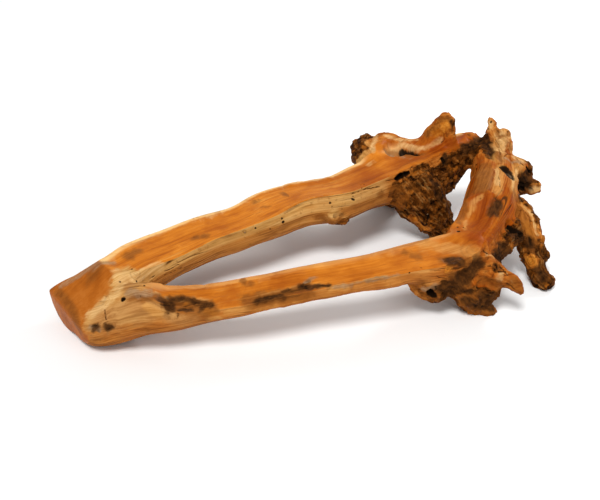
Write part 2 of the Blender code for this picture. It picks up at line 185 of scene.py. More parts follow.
# Marks on the wood, read from the photograph. A row is the radius and the depth in tenths of a
# millimetre, then x and y of each of the photograph's pixels that the mark runs through. A depth
# below 0 is a raised place.
MARKS = {
    "form": (
        (100, 50, 492.4, 154.5, 496, 165, 496, 176, 493.5, 190), (200, -35, 481, 164, 480, 178),
        (80, -30, 468, 203, 479, 197, 490, 195.5, 500, 190), (120, -30, 503, 141, 510, 147),
        (80, -25, 498, 170, 499, 184), (60, -30, 452, 266, 461, 264, 470, 261.5, 480, 258),
        (40, 30, 280, 270.8), (35, 25, 295, 268.5), (30, 20, 258, 276.5),
        (140, 40, 524, 184, 519, 191),
        (200, -35, 210, 317, 250, 310, 300, 301, 350, 292, 398, 285),
        (180, -45, 272, 187.5, 290, 184.5, 310, 182, 326, 180),
        (180, 50, 432, 235, 443, 233, 450, 224, 452, 210),
        (150, 45, 520, 201, 530, 213, 537, 226, 541, 240), (120, 40, 414, 288, 421, 295, 428, 300),
        (120, 30, 168, 286, 185, 285.5, 205, 284), (140, 40, 449, 189, 454, 180, 461, 173),
        (120, -50, 499, 298), (140, 60, 387, 151, 398, 152.5, 410, 154, 420, 153.5),
        (200, 40, 478, 280, 492, 284), (190, 50, 507, 169, 509.5, 174),
    ),
    "tan": (
        (200, 0, 500, 158, 498, 146, 500, 134, 508, 130), (130, 0, 501, 166, 499.5, 180, 497, 190),
        (160, 0, 512, 150, 520, 158, 516, 176, 514, 190), (120, 0, 489, 121, 490, 130),
        (60, 0, 522, 203, 530, 212, 537, 224),
        (50, 0, 463, 230, 466, 222, 469, 211, 475, 202, 484, 197), (60, 0, 207, 318.5, 220, 316.5),
        (110, 0, 148, 308, 157, 315), (60, 0, 226, 310.5, 250, 307),
        (60, 0, 328, 291.5, 348, 288.5), (170, 0, 424, 244, 440, 247, 456, 249, 470, 252),
    ),
    # Holes: their black paint is painted shade inside them
    "hole": (
        (150, 50, 506.5, 168.5, 510.5, 174.5), (58, 70, 122.9, 299.4),
        (70, 130, 397.5, 178, 401, 175.5), (55, 90, 405, 173.5, 409, 172.5),
        (50, 50, 442, 158.5, 443.5, 162), (100, 90, 429.5, 292, 433, 295),
        (90, 80, 520, 190, 522, 185), (75, 80, 401, 151, 409, 152.5, 417, 153.5),
        (42, 50, 458.3, 231), (22, 30, 457, 227), (25, 30, 462.5, 227),
        (60, 70, 509, 228.5, 515, 231, 522, 235), (40, 50, 527, 167.5, 531, 173, 534.5, 178),
    ),
    "speck": (
        (24, 12, 120.3, 281.6), (26, 15, 131.8, 269), (34, 20, 137.1, 281.5), (24, 12, 144.3, 285),
        (24, 10, 140.3, 295.5), (26, 20, 255.8, 228.3), (24, 15, 270.5, 229.3),
        (40, 30, 283.5, 222.3), (28, 20, 282, 218.8), (28, 20, 330.2, 203.2), (18, 10, 332, 206.6),
        (16, 10, 342.2, 209.3), (26, 20, 352.3, 199, 354.2, 199.9), (20, 15, 353.2, 196.8),
        (22, 15, 364.2, 184.5), (18, 10, 360.9, 185), (20, 10, 361.8, 188), (26, 20, 411.2, 176.7),
        (22, 15, 410.5, 180), (24, 20, 415.8, 179.3), (26, 20, 423.3, 185.3), (22, 20, 437, 193.5),
        (30, 20, 491, 122), (28, 20, 488, 129), (26, 15, 476.5, 165), (28, 15, 476.5, 169),
        (24, 15, 476.5, 173), (22, 15, 409.5, 273), (26, 15, 483, 307), (20, 10, 476.5, 288),
        (30, 20, 428.5, 216, 427.5, 219), (30, 20, 426.5, 224.5), (24, 20, 404.5, 211),
    ),
    "crack": (
        (16, 20, 105, 309, 105.8, 314, 107.5, 319), (14, 22, 150, 279, 157, 275.5, 164, 272.5),
        (14, 22, 162, 272, 170, 269, 178.5, 264.5), (10, 15, 153, 281.5, 166, 274.5, 182, 268),
        (14, 18, 351, 194, 366, 189.7, 380.5, 186.3), (12, 15, 386, 180.8, 395.5, 178.5),
        (16, 15, 441, 142.5, 448, 138, 455, 134.5),
        (18, 30, 504.5, 155.6, 509.4, 153.3, 513.6, 150.3), (12, 15, 496, 139, 499, 146, 500, 154),
        (12, 15, 505, 137, 506, 145), (12, 15, 499, 176, 500, 188),
        (16, 20, 516, 157, 521, 163, 524, 166), (14, 15, 420, 268, 430, 271, 441, 270),
        (14, 15, 436, 276, 446, 279), (16, 20, 495, 258, 503, 266), (16, 20, 507, 284, 515, 290),
        (20, 30, 497, 131, 502, 134, 508, 131.5), (22, 35, 497, 262, 501, 267, 505, 273, 512, 279),
        (20, 30, 499, 272.5, 506, 272), (18, 25, 484, 251, 490, 254.5),
        (18, 25, 488, 249.5, 496, 255), (24, 30, 483, 293, 491, 291),
        (24, 30, 457, 293.8, 466, 292), (16, 20, 520, 203, 526, 212, 533, 221),
        (16, 20, 534, 247, 538, 255, 541, 262),
    ),
    "side": (
        (110, 30, 256, 299.5, 268, 297.5, 281, 293.5, 294, 290, 306, 286),
        (80, 20, 306, 284, 309, 280.5),
        (80, 10, 318, 287, 330, 289.5, 347, 288, 366, 282, 385, 277),
        (140, 20, 166, 304.5, 178, 302, 193, 303, 207, 307),
        (200, 0, 127, 272, 122, 283, 119, 293, 108, 303, 97, 313, 90, 325),
        (230, 0, 140, 280, 134, 292, 125, 303, 113, 314, 103, 328),
        (200, 0, 143, 297, 134, 308, 124, 320, 114, 332), (140, 0, 152, 302, 160, 308, 170, 313),
        (120, 0, 446, 272, 458, 268, 470, 265, 480, 261),
        (140, 0, 424, 174, 436, 166, 448, 158, 460, 152),
    ),
    "heart": (
        (110, 0, 380, 146, 390, 143, 398, 147),
        (110, 0, 420, 158, 430, 154, 440, 149, 450, 144, 462, 140),
    ),
    "deep": (
        (320, 0, 478, 235, 484, 218, 492, 205, 505, 200), (220, 0, 505, 190, 512, 210, 505, 225),
        (200, 0, 436, 150, 448, 146, 460, 141, 470, 138), (160, 0, 474, 178, 473, 190, 478, 200),
        (200, 0, 480, 284, 492, 282),
    ),
    "clean": (
        (140, 0, 489, 128, 491, 122), (200, 0, 499, 136, 506, 142, 512, 148),
        (150, 0, 503, 128, 510, 134), (160, 0, 516, 160, 524, 163), (130, 0, 539, 189, 531, 191),
        (170, 0, 484, 280, 494, 282, 506, 282, 518, 288), (170, 0, 524, 210, 530, 220, 536, 230),
        (150, 0, 531, 260), (150, 0, 440, 128, 447, 118), (200, 0, 466, 303, 478, 309, 492, 312),
        (110, 0, 413, 220, 420, 225, 426, 229),
    ),
    "bark": (
        (160, 0, 397, 190, 401, 199, 398, 207), (200, 0, 443, 170, 452, 166, 462, 158, 474, 150),
        (130, 0, 484, 138, 488, 148, 491, 154), (160, 0, 417, 178, 428, 178, 438, 172),
    ),
    # Dark marks: partly dark bark and wood, partly painted shade in hollows, crevices and under
    # overhangs
    "dark": (
        (210, 10, 453, 288, 463, 278, 472, 268), (85, 0, 256, 301, 268, 299, 282, 296),
        (120, 20, 95, 327), (95, 30, 108.7, 326), (140, 30, 163, 301, 169, 309),
        (110, 20, 171, 299, 174, 310), (85, 20, 174, 299, 183, 297.8, 193, 301, 197, 304),
        (60, 15, 170, 308, 179, 310, 190, 309), (85, 20, 201, 309, 204, 305.5, 210, 305),
        (40, 10, 168, 314.5), (40, 10, 178, 315.5), (80, 25, 302, 285),
        (65, 15, 284, 291, 288, 289), (80, 15, 309, 288, 318, 286.5, 328, 286.5),
        (55, 10, 451.5, 121, 452, 132), (140, 20, 466, 149, 473, 144, 481, 139),
        (90, 20, 443, 163, 446, 156), (120, 20, 433, 179, 436, 190, 440, 198), (60, 10, 376, 132),
        (190, 40, 519, 192, 523, 185, 526, 178), (100, 20, 485, 139, 487, 147, 490, 153),
        (170, 25, 493.5, 211, 498.5, 203), (140, 20, 441, 289, 447, 283),
        (160, 20, 513, 234, 521, 238, 530, 244), (150, 20, 538, 270, 543, 278),
        (150, 30, 503, 249, 498, 255, 507, 256), (100, 10, 449, 261, 461, 260),
        (90, 10, 451, 263.5, 459, 262.5), (90, 20, 500, 298, 503, 294),
        (190, 20, 447, 296, 449, 287, 458, 280, 467, 272, 477, 265), (90, 20, 462, 290, 470, 292),
        (160, 10, 482, 297, 490, 299, 502, 297), (140, 10, 466, 302, 478, 304, 492, 306),
    ),
    "brown": (
        (80, 10, 427, 136.5, 432, 130.5, 437, 123.5), (70, 10, 440, 120.5, 447, 117.5, 452, 121),
        (180, 0, 484, 281, 494, 283, 502, 287), (170, 0, 394, 190, 401, 197, 398, 206),
        (100, 0, 452, 276, 462, 272), (160, 0, 96, 271, 92, 277),
        (130, 0, 58, 291, 66, 301, 73, 315, 79, 330), (150, 0, 136, 252, 129, 256),
        (120, 0, 196.5, 237.5, 204, 236),
        (170, 10, 248, 300.5, 262, 299, 278, 295.5, 292, 292.5, 308, 289),
        (70, 0, 253, 202.5, 259, 200.5), (60, 0, 262, 207.5, 270, 206),
        (80, 0, 281, 193.5, 286, 196), (100, 0, 318, 217, 330, 222, 345, 223),
        (80, 0, 403, 251.5, 411, 255, 420, 258.5), (110, 0, 380.5, 195.4),
        (200, 0, 170, 305, 186, 308, 204, 309), (90, 0, 459, 222, 462, 212, 466, 202, 469, 192),
        (80, 0, 212, 303, 216, 309, 208, 314), (110, 0, 130, 300, 146, 298, 158, 297),
        (200, 0, 420, 286, 432, 299, 444, 298), (180, 0, 524, 218, 528, 232, 530, 245),
        (160, 0, 520, 212, 526, 224, 532, 240), (70, 0, 497, 131, 502, 137, 508, 133),
        (60, 0, 513, 136, 514, 146), (80, 0, 497, 152, 502, 160), (100, 0, 515, 192, 518, 200),
        (140, 0, 445, 260.5, 455, 260, 465, 260), (360, 0, 468, 304, 480, 310, 494, 312),
        (150, 0, 516, 283, 523, 292), (110, 0, 389, 151, 400, 153, 412, 155, 421, 154),
        (160, 0, 486, 166, 484, 178, 480, 190), (90, 0, 242, 280.5, 254, 285),
        (120, 0, 482, 172, 478, 184, 476, 192),
    ),
    # Pale marks: partly pale wood, partly painted highlights on ridges and edges
    "pale": (
        (110, 0, 118, 271, 121, 283, 117, 294, 104, 303, 92, 313),
        (130, 0, 124, 272, 134, 278, 143, 273, 152, 268, 160, 264),
        (50, 0, 153, 292.5, 168, 297.5),
        (70, 0, 401, 145, 413, 148, 425, 149, 433, 145, 440, 140.5),
        (70, 0, 375, 136, 373, 144, 372, 150), (55, 0, 384, 135, 392, 138, 405, 140, 416, 139),
        (80, 0, 540, 189.5, 532, 190.5), (80, 0, 500, 278.5), (45, -10, 487, 253, 494, 258),
        (40, -10, 509, 276, 514, 283), (150, 0, 499, 150, 504, 143, 502, 136),
        (110, 0, 505, 127, 510, 133), (80, 0, 489, 121, 491, 127), (60, 0, 497, 168, 498, 184),
        (80, 0, 516, 157, 523, 161), (70, 0, 514, 190, 514, 180, 518, 171),
        (40, 0, 525, 205, 533, 215, 538, 226, 540, 234), (60, 0, 367, 166, 374, 162),
    ),
    "warm": (
        (60, 0, 187, 303.8), (150, 0, 437, 132, 445, 124), (110, 0, 449, 270), (150, 0, 531, 260),
        (90, 0, 414, 221, 424, 228), (120, 0, 528, 224, 532, 234), (80, 0, 206, 310, 214, 311),
    ),
    "bead": (
        (85, -20, 509, 171.5, 511, 174.5), (22, -10, 245, 232.3), (20, -10, 427.5, 214.5),
    ),
    "shade": (
        (280, 0, 100, 320, 114, 316, 130, 311, 146, 307), (160, 0, 126, 282, 130, 290),
        (160, 0, 172, 318, 190, 320), (180, 0, 486, 172, 484, 186),
    ),
    "grey": (
        (110, 0, 129, 293, 139, 294.5, 149, 292), (60, 0, 305, 281.5, 311.5, 277.5),
        (50, 0, 335, 289, 350, 286.5, 375, 279.5, 400, 273.5),
        (60, 0, 386, 150, 392, 154, 400, 157, 410, 158), (60, 0, 505, 157, 511, 162, 523, 163),
        (90, 0, 62, 284, 78, 276, 96, 265, 112, 264), (60, 0, 90, 325, 98, 330),
        (90, 0, 426, 290, 436, 286),
    ),
}
SMALL_MARKS = ("hole", "speck", "crack", "bead")  # these have a clean edge; the others fade out
EXACT_MARKS = ("speck", "bead")  # these are round; the others get an uneven outline

# Knots and swirls: the radius, how many rings, how clear they are, and the pixel in the middle
KNOTS = (
    (0.0130, 2, 0.7, (135.5, 273.2)),
    (0.0060, 1, 0.8, (144.5, 282)),
    (0.0060, 1, 0.8, (245, 232.3)),
    (0.0060, 1, 0.8, (383, 190.6)),
    (0.0060, 1, 0.8, (195.5, 236.5)),
    (0.0120, 3, 1.0, (449, 270)),
    (0.0160, 3, 1.0, (531, 260)),
    (0.0420, 5, 0.5, (488, 226)),
    (0.0300, 3, 0.5, (475, 250)),
    (0.0250, 3, 0.6, (501, 143)),
)
MARK_DRIFTS = ((0.0055, 38.0, 20), (0.0030, 110.0, 30))  # distance, features per metre, seed
SMALL_DRIFT = 0.4  # share of that drift in the outline of a small mark
SMALL_EDGE = (0.65, 1.15)  # a small mark ends between these distances, in radii
EDGE_WOBBLE = 0.15  # how far the ragged noise moves a mark's edge, in radii
RING_WOBBLE = 0.12
RING_DEPTH = 0.0005  # hollows between a knot's rings

# Relief. A scale is in features per metre. Two of them are along and across the grain.
GRADIENT_COUNT = 256  # directions that the noise draws from
LUMPS = (14.0, 0.004)  # scale and height of the grown lumps all over
KNOBS = (50.0, 0.005)  # the same for the knobs of gnarled wood
FURROWS = (28.0, 0.009)  # and for the furrows between them
KNOB_LIFT = 0.003  # keeps gnarled wood about as thick as its limb
ROUGHNESS_BLEND = 0.006  # how far one limb's roughness fades into the next
GNARLED = 0.02  # wood rougher than this has knobs
RIDGES, RIDGE_HEIGHT = (9.0, 60.0), 0.0011
FIBRES, FIBRE_HEIGHT, CRUST_FIBRE_HEIGHT = (16.0, 170.0), 0.00045, 0.0011
SPLITS, SPLIT_DEPTH = (7.0, 75.0), 0.0014
TOOL_MARKS, TOOL_HEIGHT = (22.0, 30.0), 0.00035
CRUST_FURROWS, FURROW_DEPTH = (14.0, 95.0), 0.0026
SIDES_SUNK = 0.0006  # weathered wood lies this much below planed wood
CRUST_RAISED = 0.0005  # and the crust stands this much above it
CHIPS_SUNK = 0.0004
POINTS_AT_ONCE = 20000  # keeps the table of distances to a route small
RIM_HEIGHT = 0.018  # the pale rim along a facet's rear edge, pale sapwood with a painted highlight, was this close under the bark
RIM_SHARE = {"rear_arm": 1.0, "front_arm": 0.3, "bridge": 0.0}  # how clear the rim is
HEWN_ROUND = (0.010, 0.020)  # the edge of each hewn face is worn to about this radius
NEVER_CUT = -0.02  # height above a cut that stands for wood far below it
SURELY_CUT = 0.012  # height above a cut that stands for wood well inside a facet
CHIP_SPACING = 0.013  # size of the split faces of the crusty wood
CHIP_TILT = 0.12  # how far a split face leans
PIT_COUNT = 150  # small holes in the crusty wood
PIT_RADIUS = (0.0016, 0.0036)

# Colours, linear. Each ramp goes from its darkest streaks to its lightest
SHINE_TINT = (1.0, 0.66, 0.42)  # the oil warms what the wood reflects
HEARTWOOD = (
    (0.33, (0.31, 0.068, 0.003)),
    (0.44, (0.53, 0.148, 0.009)),
    (0.54, (0.67, 0.215, 0.018)),
    (0.66, (0.80, 0.370, 0.070)),
)
DEEP_HEART = (
    (0.34, (0.15, 0.022, 0.001)),
    (0.47, (0.28, 0.048, 0.002)),
    (0.62, (0.43, 0.108, 0.006)),
)
HEART_RED = (0.38, 0.082, 0.006)
HEART_LINE = (0.33, 0.078, 0.006)
# Pale sapwood along a facet's rear edge, partly a painted highlight
SAPWOOD_AND_HIGHLIGHT = (0.90, 0.56, 0.22)
HEWN = (
    (0.32, (0.27, 0.062, 0.004)),
    (0.50, (0.41, 0.110, 0.010)),
    (0.68, (0.53, 0.175, 0.028)),
)
# The weathered sides: straw where they face up; the tan and the dark underside colours are painted
# shade on sides that face down
STRAW = (
    (0.34, (0.30, 0.130, 0.032)),
    (0.46, (0.54, 0.270, 0.070)),
    (0.62, (0.70, 0.400, 0.135)),
)
TAN = (
    (0.34, (0.20, 0.068, 0.012)),
    (0.47, (0.49, 0.185, 0.034)),
    (0.64, (0.64, 0.285, 0.068)),
)
GOLDEN = (
    (0.34, (0.13, 0.032, 0.004)),
    (0.47, (0.34, 0.094, 0.011)),
    (0.62, (0.60, 0.230, 0.042)),
)
UNDERSIDE_SHADE = (
    (0.34, (0.10, 0.026, 0.003)),
    (0.60, (0.34, 0.098, 0.009)),
)
SIDE_STAIN = (0.25, 0.090, 0.018)
CRACK_BROWN = (0.075, 0.022, 0.004)
CRUST = (
    (0.38, (0.010, 0.003, 0.001)),
    (0.47, (0.060, 0.017, 0.002)),
    (0.56, (0.155, 0.045, 0.006)),
    (0.68, (0.32, 0.120, 0.022)),
)
ORANGE_PATCH = (0.36, 0.105, 0.010)
# Pale fibres on the crust's crests, partly a painted highlight
PALE_FIBRE_AND_HIGHLIGHT = (0.50, 0.27, 0.085)
BLACK = (0.008, 0.004, 0.002)

# Stains, and painted shade in the relief's hollows, that follow a noise or a value: its name, where
# the tint starts and where it is full, how much it covers there, and its colour
HEART_STAINS = (
    ("cloud", 0.50, 0.72, 0.45, HEART_RED),
    ("broad", 0.58, 0.68, 0.40, HEART_RED),
    ("fine", 0.56, 0.70, 0.65, HEART_LINE),
)
SIDE_STAINS_AND_SHADE = (
    ("mottle", 0.56, 0.70, 0.5, SIDE_STAIN),
    ("splits", 0.25, 0.8, 0.8, CRACK_BROWN),
    # Painted shade: the low places of the relief, its splits and furrows, are darkened
    ("relief", -0.8, -2.2, 0.7, CRACK_BROWN),
)
CRUST_STAINS = (("patches", 0.56, 0.64, 0.70, ORANGE_PATCH),)
# Painted shade: the deepest hollows of the relief are painted nearly black
PAINTED_DEPTH_SHADE = (("relief", -2.4, -5.0, 0.85, BLACK),)

# Stains that marks make: the mark's kind, its darker and lighter colours, how much it covers and
# how speckled it is
SOFT_TINTS = (
    ("shade", (0.34, 0.150, 0.042), (0.46, 0.220, 0.070), 0.60, 0.0),
    ("tan", (0.50, 0.215, 0.045), (0.66, 0.32, 0.085), 0.62, 0.1),
    # Pale: partly pale wood, partly painted highlights on ridges and edges
    ("pale", (0.60, 0.33, 0.110), (0.82, 0.53, 0.23), 0.62, 0.1),
    ("warm", (0.52, 0.155, 0.012), (0.66, 0.25, 0.03), 0.80, 0.2),
    ("brown", (0.16, 0.047, 0.007), (0.29, 0.090, 0.013), 0.80, 0.3),
    ("grey", (0.21, 0.125, 0.065), (0.40, 0.26, 0.15), 0.60, 0.3),
    # Dark: partly dark bark and wood, partly painted shade in hollows and under overhangs
    ("dark", (0.024, 0.009, 0.003), (0.090, 0.031, 0.007), 0.95, 0.6),
)
# Small marks: the kind, its colour and how much it covers
CLEAN_TINTS = (
    ("crack", CRACK_BROWN, 0.85),
    ("speck", BLACK, 0.90),
    # Holes are painted black: painted shade inside them
    ("hole", BLACK, 0.95),
    ("bead", (0.27, 0.17, 0.095), 0.90),
)
PAINTED_MARKS = ("side", *(row[0] for row in SOFT_TINTS + CLEAN_TINTS))

# Noise that the paint reads. Along the grain: features per metre along and across it, and detail.
# In space: features per metre, detail and roughness.
GRAIN_LINES = (((8.0, 330.0), 3.0), ((4.5, 95.0), 3.0), ((9.0, 30.0), 4.0))
SPACE_NOISE = {
    "cloud": (22.0, 4.0),
    "grit": (420.0, 2.0),
    "mottle": (90.0, 5.0, 0.65),
    "crumbs": (210.0, 4.0, 0.7),
    "patches": (38.0, 5.0, 0.6),
}
PAINT_VALUES = ("facing", "relief", "golden", "deep", "rim", "hewn", "above", "crust", "splits",
                "rings")

FLOOR_SIZE = 40.0
FLOOR_COLOUR = (0.92, 0.92, 0.915)
SKY_STRENGTH = 0.42  # white light from all round
SUN_STRENGTH = 2.3
SUN_ANGLE = math.radians(22)
SUN_PLACE = (-0.30, -0.38, 1.0)  # the way towards it
# Lamps: the place, what it points at, its width and its power
LAMPS = {
    "fill": ((0.9, -1.7, 0.8), (0.1, 0.0, 0.08), 1.2, 6.0),
    "rim": ((1.5, 0.8, 1.1), (0.3, 0.0, 0.10), 0.5, 10.0),
}


def in_scene(name, data):
    """A new object with the data, in the scene."""
    made = bpy.data.objects.new(name, data)
    bpy.context.scene.collection.objects.link(made)
    return made


def evaluated_mesh(obj):
    """The object's mesh with its modifiers applied, as a new mesh."""
    bpy.context.view_layer.update()
    graph = bpy.context.evaluated_depsgraph_get()
    return bpy.data.meshes.new_from_object(obj.evaluated_get(graph))


def vertex_values(mesh, kind):
    values = np.empty(len(mesh.vertices) * 3)
    mesh.vertices.foreach_get(kind, values)
    return values.reshape(-1, 3)


def smoothstep(low, high, values):
    t = np.clip((values - low) / (high - low), 0.0, 1.0)
    return t * t * (3 - 2 * t)


def blended(first, second, share):
    return first * (1 - share) + second * share


def smooth_route(rows):
    """Points about STEP apart on one smooth curve through the rows of a limb, in metres."""
    rows = np.array(rows, dtype=float)
    rows[:, :4] /= MILLIMETRES
    padded = np.vstack([2 * rows[0] - rows[1], rows, 2 * rows[-1] - rows[-2]])
    found = []
    for a, b, c, d in zip(padded, padded[1:], padded[2:], padded[3:]):
        count = max(2, round(float(np.linalg.norm((c - b)[:3])) / STEP))
        t = (np.arange(count) / count)[:, None]
        found.append(
            0.5 * (2 * b + (c - a) * t + (2 * a - 5 * b + 4 * c - d) * t**2
                   + (3 * b - a - 3 * c + d) * t**3)
        )
    return np.vstack([*found, rows[-1:]])


def all_routes():
    """Every limb's route by name, planed limbs first."""
    limbs = {**PLANED_LIMBS, **GROWN_LIMBS}
    return {name: smooth_route(rows) for name, rows in limbs.items()}


def limb_mesh(route):
    """A closed tube along the route, as thick as each of its points says."""
    curve = bpy.data.curves.new("limb", "CURVE")
    curve.dimensions = "3D"
    curve.bevel_depth = 1.0  # a point's radius is then the limb's radius in metres
    curve.bevel_resolution = 4
    curve.use_fill_caps = True
    spline = curve.splines.new("POLY")
    spline.points.add(len(route) - 1)
    for point, row in zip(spline.points, route):
        point.co = (*row[:3], 1.0)
        point.radius = row[3]
    guide = in_scene("limb", curve)
    mesh = evaluated_mesh(guide)
    bpy.data.objects.remove(guide)
    return mesh


def fused_limbs(routes):
    """All limbs grown together: one closed mesh with soft hollows where limbs meet."""
    together = bmesh.new()
    for route in routes.values():
        together.from_mesh(limb_mesh(route))
    bmesh.ops.remove_doubles(together, verts=together.verts, dist=1e-6)
    mesh = bpy.data.meshes.new("limbs")
    together.to_mesh(mesh)
    together.free()
    wood = in_scene("limbs", mesh)
    fuse = wood.modifiers.new("fuse", "REMESH")
    fuse.mode = "VOXEL"
    fuse.voxel_size = FUSE_VOXEL
    soften = wood.modifiers.new("soften", "SMOOTH")
    soften.factor = 0.5
    soften.iterations = 6
    fine = wood.modifiers.new("fine", "SUBSURF")
    fine.levels = FINE_LEVELS
    fine.render_levels = FINE_LEVELS
    fused = evaluated_mesh(wood)
    bpy.data.objects.remove(wood)
    return fused


def nearest_on(route, points):
    """For each point, the route's row nearest to it, read between points, and the way it runs."""
    slope = np.gradient(route, axis=0)
    slope /= np.linalg.norm(slope[:, :3], axis=1)[:, None]
    index = np.empty(len(points), dtype=int)
    for start in range(0, len(points), POINTS_AT_ONCE):
        some = points[start:start + POINTS_AT_ONCE]
        gaps = (some**2).sum(axis=1)[:, None] - 2 * some @ route[:, :3].T
        gaps += (route[:, :3] ** 2).sum(axis=1)[None, :]
        index[start:start + POINTS_AT_ONCE] = gaps.argmin(axis=1)
    along = slope[index, :3]
    past = ((points - route[index, :3]) * along).sum(axis=1).clip(-STEP / 2, STEP / 2)
    return route[index] + past[:, None] * slope[index], along


def depths(routes, points):
    """How far each point lies outside each limb's own surface, and the limb's roughness there."""
    found = {}
    rough = {}
    for name, route in routes.items():
        near, _ = nearest_on(route, points)
        found[name] = np.linalg.norm(points - near[:, :3], axis=1) - near[:, 3]
        rough[name] = near[:, 4]
    return found, rough


def smooth_roughness(depth, rough):
    """How gnarled the wood is at each point, fading from limb to limb."""
    nearest = np.min(list(depth.values()), axis=0)
    total = np.zeros(len(nearest))
    weight = np.zeros(len(nearest))
    for name, gap in depth.items():
        share = np.exp(-(gap - nearest) / ROUGHNESS_BLEND)
        total += share * rough[name]
        weight += share
    return total / weight


def bump(place, size):
    scale, height = size
    return noise.noise(place * scale) * height


def swell(points, normals, rough):
    """Grown lumps all over, and knobs and furrows where the wood is gnarled."""
    moved = points.copy()
    for i, (point, normal) in enumerate(zip(points, normals)):
        place = Vector(point)
        knobs = 0.0
        if rough[i] > GNARLED:
            knobs = bump(place, KNOBS) - abs(bump(place, FURROWS)) + KNOB_LIFT
        moved[i] += normal * (bump(place, LUMPS) + rough[i] * knobs)
    return moved


def facet_height(points, route):
    """How far each point stands above the limb's planed facet, the way the facet looks, and
    the point's place across the limb in radii, from its front to its rear."""
    near, along = nearest_on(route, points)
    out = np.column_stack([near[:, 6], near[:, 7], np.ones(len(points))])
    out -= (along * out).sum(axis=1)[:, None] * along
    out /= np.linalg.norm(out, axis=1)[:, None]
    offset = points - near[:, :3]
    height = (offset * out).sum(axis=1)
    aside = np.sqrt(np.maximum((offset**2).sum(axis=1) - height**2, 0.0))
    radius = near[:, 3]
    scoop = FACET_SCOOP * np.clip(1 - (aside / radius) ** 2, 0.0, 1.0)
    across = (offset * np.cross(out, along)).sum(axis=1) / radius
    return height - (near[:, 5] * radius - scoop), out, across


def ownership(depth, name):
    """1 where the named limb is the one at the surface, fading to 0 on its neighbours."""
    others = np.min([gap for other, gap in depth.items() if other != name], axis=0)
    return np.clip(0.5 + (others - depth[name]) / (2 * FACET_BLEND), 0.0, 1.0)


def hollow(points, normals, place, mouth, depth):
    """Points round a place on the surface, pushed in as a bowl."""
    reach = np.linalg.norm(points - np.array(place), axis=1) / mouth
    push = depth * np.clip(1 - reach**2, 0.0, 1.0) ** 1.5
    return points - normals * push[:, None]


def rounded(excess, radius):
    """The part of an excess to cut away, with the cut's edge rounded over the radius."""
    soft = (excess + radius) ** 2 / (4 * radius)
    return np.where(excess > radius, excess, np.where(excess > -radius, soft, 0.0))


def planed(points, depth, routes):
    """The points with the planed facets and the hewn faces cut, how far each stood above a
    cut, how much of the rear edge's pale rim it has, and how far it stood beyond a hewn face."""
    above = np.full(len(points), NEVER_CUT)
    rim = np.zeros(len(points))
    for name in PLANED_LIMBS:
        height, out, across = facet_height(points, routes[name])
        own = ownership(depth, name)
        above = np.maximum(above, height * own - 0.006 * (1 - own))
        points = points - out * (np.maximum(height, 0.0) * own)[:, None]
        edge = (1 - smoothstep(0.5 * RIM_HEIGHT, RIM_HEIGHT, height)) * smoothstep(0.2, 0.4, across)
        rim = np.maximum(rim, edge * own * RIM_SHARE[name])
    hewn = np.full(len(points), NEVER_CUT)
    for (place, looks), radius in zip(HEWN_FACES, HEWN_ROUND):
        out = np.array(looks) / np.linalg.norm(looks)
        beyond = (points - np.array(place)) @ out
        points = points - rounded(beyond, radius)[:, None] * out
        hewn = np.maximum(hewn, beyond)
    return points, np.maximum(above, hewn), rim, hewn


def lattice_noise(points, seed):
    """Smooth noise of about -1 to 1 with a feature size of 1, the same for the same seed."""
    draw = np.random.default_rng(seed)
    gradients = draw.normal(size=(GRADIENT_COUNT, 3))
    gradients /= np.linalg.norm(gradients, axis=1)[:, None]
    order = draw.permutation(GRADIENT_COUNT)
    cell = np.floor(points).astype(np.int64)
    inside = points - cell
    fade = inside**3 * (inside * (inside * 6 - 15) + 10)
    total = np.zeros(len(points))
    for corner in product((0, 1), repeat=3):
        place = (cell + corner) % GRADIENT_COUNT
        key = order[(order[(order[place[:, 0]] + place[:, 1]) % GRADIENT_COUNT] + place[:, 2])
                    % GRADIENT_COUNT]
        towards = (gradients[key] * (inside - corner)).sum(axis=1)
        share = np.where(corner, fade, 1 - fade).prod(axis=1)
        total += share * towards
    return total * 1.6


def drifted(points, distance, scale, seed):
    """The points moved about a little, so that what is drawn on them gets an uneven outline."""
    drift = [lattice_noise(points * scale, seed + axis) for axis in range(3)]
    return points + distance * np.column_stack(drift)


def grain_coordinates(points, route):
    """Length along the route, then the offsets to its left and upwards."""
    steps = np.linalg.norm(np.diff(route[:, :3], axis=0), axis=1)
    length = np.concatenate([[0.0], np.cumsum(steps)])
    near, along = nearest_on(np.column_stack([route[:, :3], length]), points)
    offset = points - near[:, :3]
    left = np.cross((0.0, 0.0, 1.0), along)
    left /= np.linalg.norm(left, axis=1)[:, None]
    up = np.cross(along, left)
    return np.column_stack([
        near[:, 3] + (offset * along).sum(axis=1),
        (offset * left).sum(axis=1),
        (offset * up).sum(axis=1),
    ])


def grain_fields(points, routes, depth):
    """Grain coordinates of each run of limbs, and how much of each point's wood is that run's."""
    gaps = {run: np.min([depth[name] for name in limbs], axis=0)
            for run, limbs in GRAIN_RUNS.items()}
    nearest = np.min(list(gaps.values()), axis=0)
    shares = {run: np.exp(-(gap - nearest) / GRAIN_BLEND) for run, gap in gaps.items()}
    total = sum(shares.values())
    shares = {run: share / total for run, share in shares.items()}
    fields = {run: grain_coordinates(points, routes[guide]) for run, guide in GRAIN_GUIDES.items()}
    roots = np.zeros((len(points), 3))
    for number, name in enumerate(GRAIN_RUNS["root"]):
        own = (depth[name] <= gaps["root"]) & (shares["root"] > 0.01)
        if own.any():
            roots[own] = grain_coordinates(points[own], routes[name]) + 0.1 * number
    fields["root"] = roots
    return fields, shares


